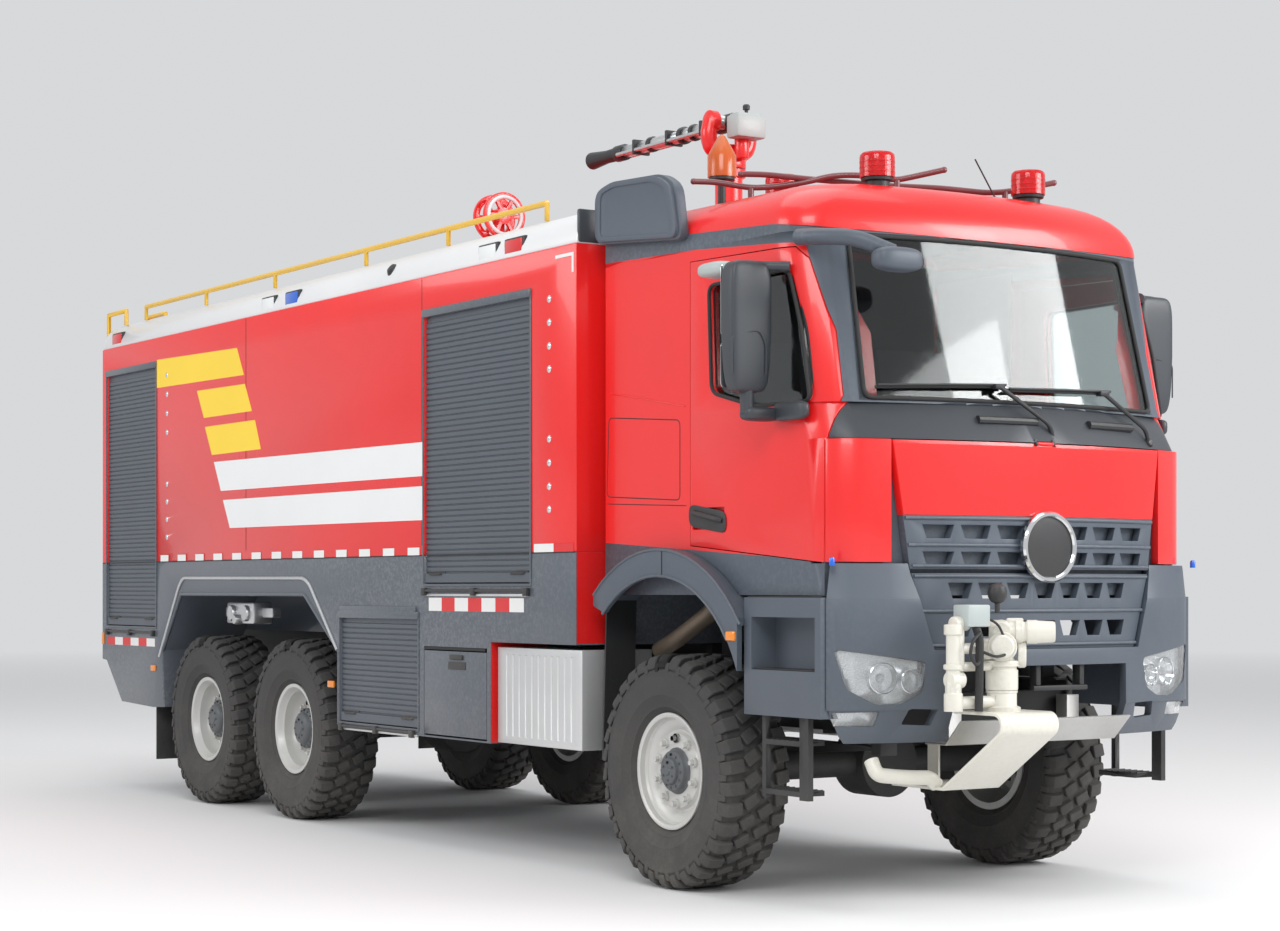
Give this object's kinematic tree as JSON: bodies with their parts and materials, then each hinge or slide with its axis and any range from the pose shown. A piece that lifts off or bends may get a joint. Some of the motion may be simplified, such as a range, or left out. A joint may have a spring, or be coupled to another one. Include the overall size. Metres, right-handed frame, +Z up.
{
  "type": "airport fire truck",
  "caption": "Six-wheel airport crash tender: red cab and boxed body with side roll shutters, roof and bumper water monitors, roof rails and off-road wheels.",
  "frame": {"origin": "on the ground, at the middle of the vehicle's length and width", "axes": "+X towards the vehicle's left side, -Y forwards, +Z up"},
  "size_m": [2.91, 9.9136, 4.307],
  "materials": {
    "paint_red": "gloss",
    "paint_grey": "satin",
    "plastic_grey": "satin",
    "plastic_black": "matte",
    "frame_black": "satin",
    "cast_black": "rough",
    "tyre": "matte",
    "rim_silver": "satin",
    "glass": "gloss",
    "lamp_glass": "gloss",
    "beacon_red": "gloss",
    "aluminium": "brushed",
    "paint_white": "gloss",
    "paint_yellow": "gloss",
    "paint_cream": "gloss",
    "rubber_black": "matte"
  },
  "bodies": {
    "root": {"chassis_frame": "frame_black", "engine_block": "cast_black", "driveline": "cast_black", "front_axle": "cast_black", "rear_axles": "cast_black", "leaf_springs": "frame_black", "cab_shell": "paint_red", "corner_panels": "paint_red", "cab_trim": "plastic_grey", "windscreen": "glass", "cab_interior": "plastic_black", "side_deflectors": "plastic_grey", "grille_lower": "plastic_grey", "bumper": "plastic_grey", "headlamps": "lamp_glass", "underrun_plate": "aluminium", "cab_steps": "plastic_grey", "front_fenders": "plastic_grey", "mudflaps": "rubber_black", "light_bar": "paint_red", "beacons": "beacon_red", "body_upper": "paint_red", "body_lower": "paint_grey", "side_shutters": "paint_grey", "cornices": "paint_white", "roof_rails": "paint_yellow", "silencer_box": "aluminium", "fuel_tank": "aluminium", "hose_reel": "paint_red", "roof_monitor_base": "paint_red", "monitor_bracket": "paint_cream"},
    "knuckle_left": {"knuckle_left": "cast_black"},
    "knuckle_right": {"knuckle_right": "cast_black"},
    "wheel_front_left": {"tyre_front_left": "tyre", "rim_front_left": "rim_silver"},
    "wheel_front_right": {"tyre_front_right": "tyre", "rim_front_right": "rim_silver"},
    "wheel_mid_left": {"tyre_mid_left": "tyre", "rim_mid_left": "rim_silver"},
    "wheel_mid_right": {"tyre_mid_right": "tyre", "rim_mid_right": "rim_silver"},
    "wheel_rear_left": {"tyre_rear_left": "tyre", "rim_rear_left": "rim_silver"},
    "wheel_rear_right": {"tyre_rear_right": "tyre", "rim_rear_right": "rim_silver"},
    "door_left": {"door_left": "paint_red", "door_glass_left": "glass", "mirror_left": "plastic_black"},
    "door_right": {"door_right": "paint_red", "door_glass_right": "glass", "mirror_right": "plastic_black"},
    "front_flap": {"front_flap": "paint_red", "grille_upper": "plastic_grey"},
    "toolbox_door_left": {"toolbox_door_left": "paint_grey"},
    "toolbox_door_right": {"toolbox_door_right": "paint_grey"},
    "roof_monitor_turret": {"roof_monitor_turret": "paint_red"},
    "roof_monitor_barrel": {"roof_monitor_barrel": "plastic_black"},
    "bumper_monitor_turret": {"bumper_monitor_turret": "paint_cream"},
    "bumper_monitor_barrel": {"bumper_monitor_barrel": "paint_cream"}
  },
  "joints": [
    {"name": "steer_left", "type": "hinge", "parent": "root", "child": "knuckle_left", "pos_m": [1, -3.055, 0.6], "axis": [0, 0, 1], "range_deg": [-30, 30]},
    {"name": "steer_right", "type": "hinge", "parent": "root", "child": "knuckle_right", "pos_m": [-1, -3.055, 0.6], "axis": [0, 0, 1], "range_deg": [-30, 30]},
    {"name": "roll_front_left", "type": "hinge", "parent": "knuckle_left", "child": "wheel_front_left", "pos_m": [1.065, -3.055, 0.6], "axis": [1, 0, 0], "continuous": true},
    {"name": "roll_front_right", "type": "hinge", "parent": "knuckle_right", "child": "wheel_front_right", "pos_m": [-1.065, -3.055, 0.6], "axis": [1, 0, 0], "continuous": true},
    {"name": "roll_mid_left", "type": "hinge", "parent": "root", "child": "wheel_mid_left", "pos_m": [1.065, 1.445, 0.6], "axis": [1, 0, 0], "continuous": true},
    {"name": "roll_mid_right", "type": "hinge", "parent": "root", "child": "wheel_mid_right", "pos_m": [-1.065, 1.445, 0.6], "axis": [1, 0, 0], "continuous": true},
    {"name": "roll_rear_left", "type": "hinge", "parent": "root", "child": "wheel_rear_left", "pos_m": [1.065, 2.895, 0.6], "axis": [1, 0, 0], "continuous": true},
    {"name": "roll_rear_right", "type": "hinge", "parent": "root", "child": "wheel_rear_right", "pos_m": [-1.065, 2.895, 0.6], "axis": [1, 0, 0], "continuous": true},
    {"name": "open_door_left", "type": "hinge", "parent": "root", "child": "door_left", "pos_m": [1.12995, -4.242, 2.4], "axis": [0, 0, -1], "range_deg": [0, 75]},
    {"name": "open_door_right", "type": "hinge", "parent": "root", "child": "door_right", "pos_m": [-1.12995, -4.242, 2.4], "axis": [0, 0, 1], "range_deg": [0, 75]},
    {"name": "lift_front_flap", "type": "hinge", "parent": "root", "child": "front_flap", "pos_m": [0, -4.533, 2.236], "axis": [-1, 0, 0], "range_deg": [0, 80]},
    {"name": "drop_toolbox_left", "type": "hinge", "parent": "root", "child": "toolbox_door_left", "pos_m": [1.263, -0.891, 0.682], "axis": [0, 1, 0], "range_deg": [0, 90]},
    {"name": "drop_toolbox_right", "type": "hinge", "parent": "root", "child": "toolbox_door_right", "pos_m": [-1.263, -0.891, 0.682], "axis": [0, -1, 0], "range_deg": [0, 90]},
    {"name": "pan_roof_monitor", "type": "hinge", "parent": "root", "child": "roof_monitor_turret", "pos_m": [0, -1.855, 4], "axis": [0, 0, 1], "range_deg": [-180, 180]},
    {"name": "tilt_roof_monitor", "type": "hinge", "parent": "roof_monitor_turret", "child": "roof_monitor_barrel", "pos_m": [0, -1.855, 4.225], "axis": [1, 0, 0], "range_deg": [-15, 70]},
    {"name": "pan_bumper_monitor", "type": "hinge", "parent": "root", "child": "bumper_monitor_turret", "pos_m": [-0.475, -4.755, 1.1], "axis": [0, 0, 1], "range_deg": [-90, 40]},
    {"name": "tilt_bumper_monitor", "type": "hinge", "parent": "bumper_monitor_turret", "child": "bumper_monitor_barrel", "pos_m": [-0.475, -4.755, 1.33], "axis": [0.6428, 0.766, 0], "range_deg": [-60, 15]}
  ],
  "couplings": [
    {"joint": "steer_right", "follows": "steer_left", "ratio": 1}
  ]
}
